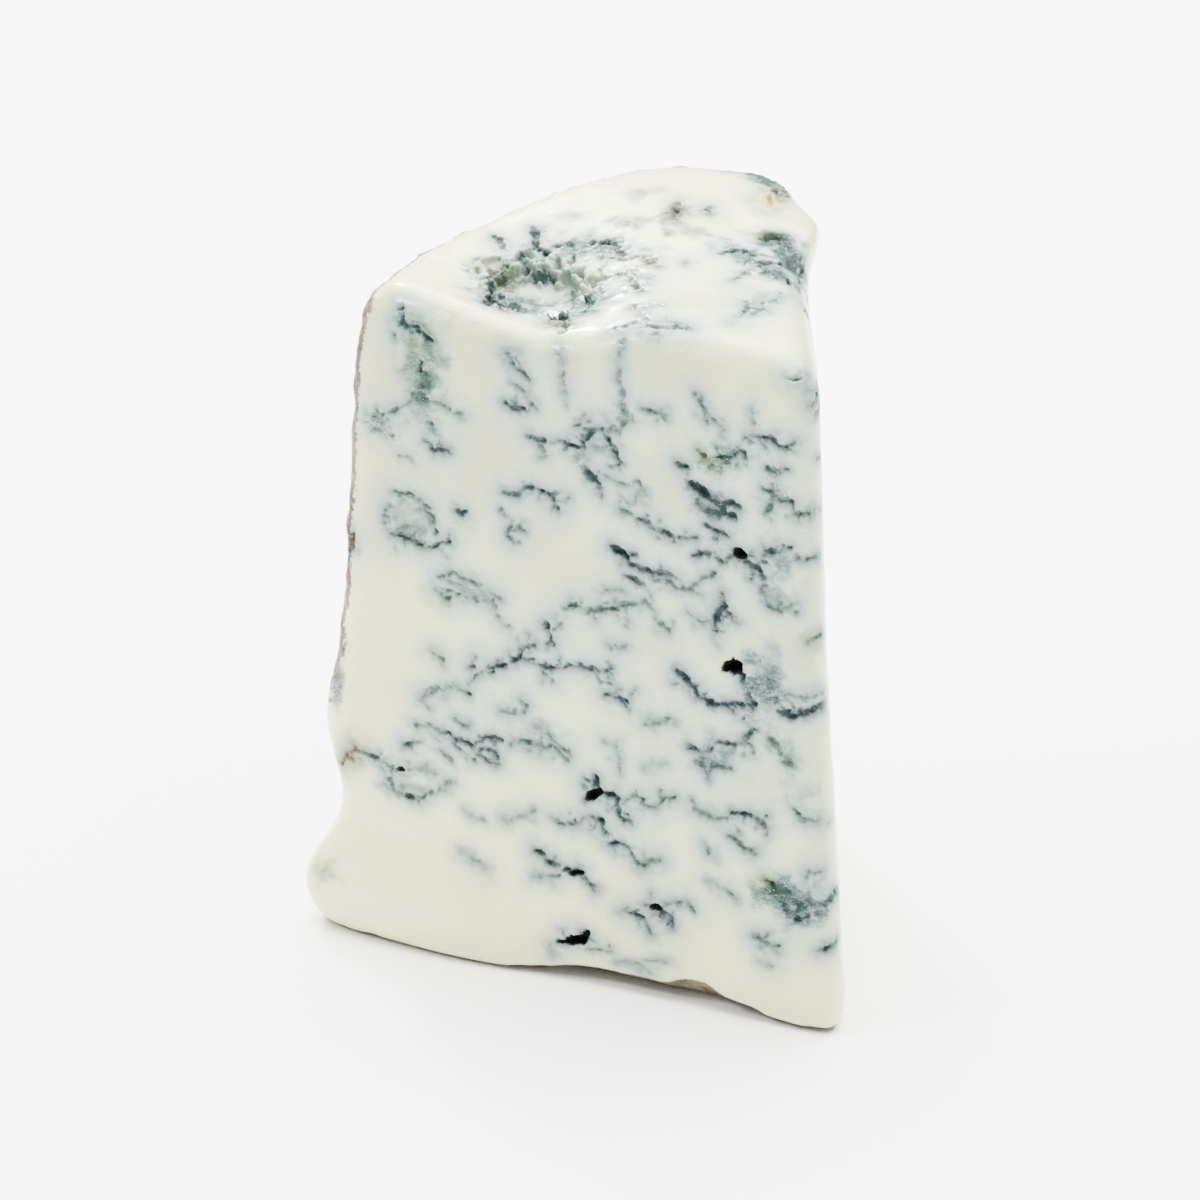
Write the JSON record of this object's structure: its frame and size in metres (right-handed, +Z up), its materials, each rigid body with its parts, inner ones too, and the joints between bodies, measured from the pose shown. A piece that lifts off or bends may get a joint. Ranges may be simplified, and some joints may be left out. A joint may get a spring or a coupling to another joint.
{
  "type": "blue cheese wedge",
  "caption": "Wedge of soft blue-veined cheese with two flat cuts, a curved rim and a slumped, hollowed top, for a cheese board or a food display.",
  "frame": {"origin": "on the base, at the middle of the bounding box", "axes": "+Z up from the base to the top; +X along the front cut, from the rim to the thin end; -Y is the front"},
  "size_m": [0.078, 0.0638, 0.0946],
  "materials": {
    "blue_veined_paste": "moist, slightly glossy ivory paste with ragged blue-green mould veins, and a dry thin rind on the rim"
  },
  "bodies": {
    "root": {"cheese_wedge": "blue_veined_paste"}
  },
  "joints": []
}
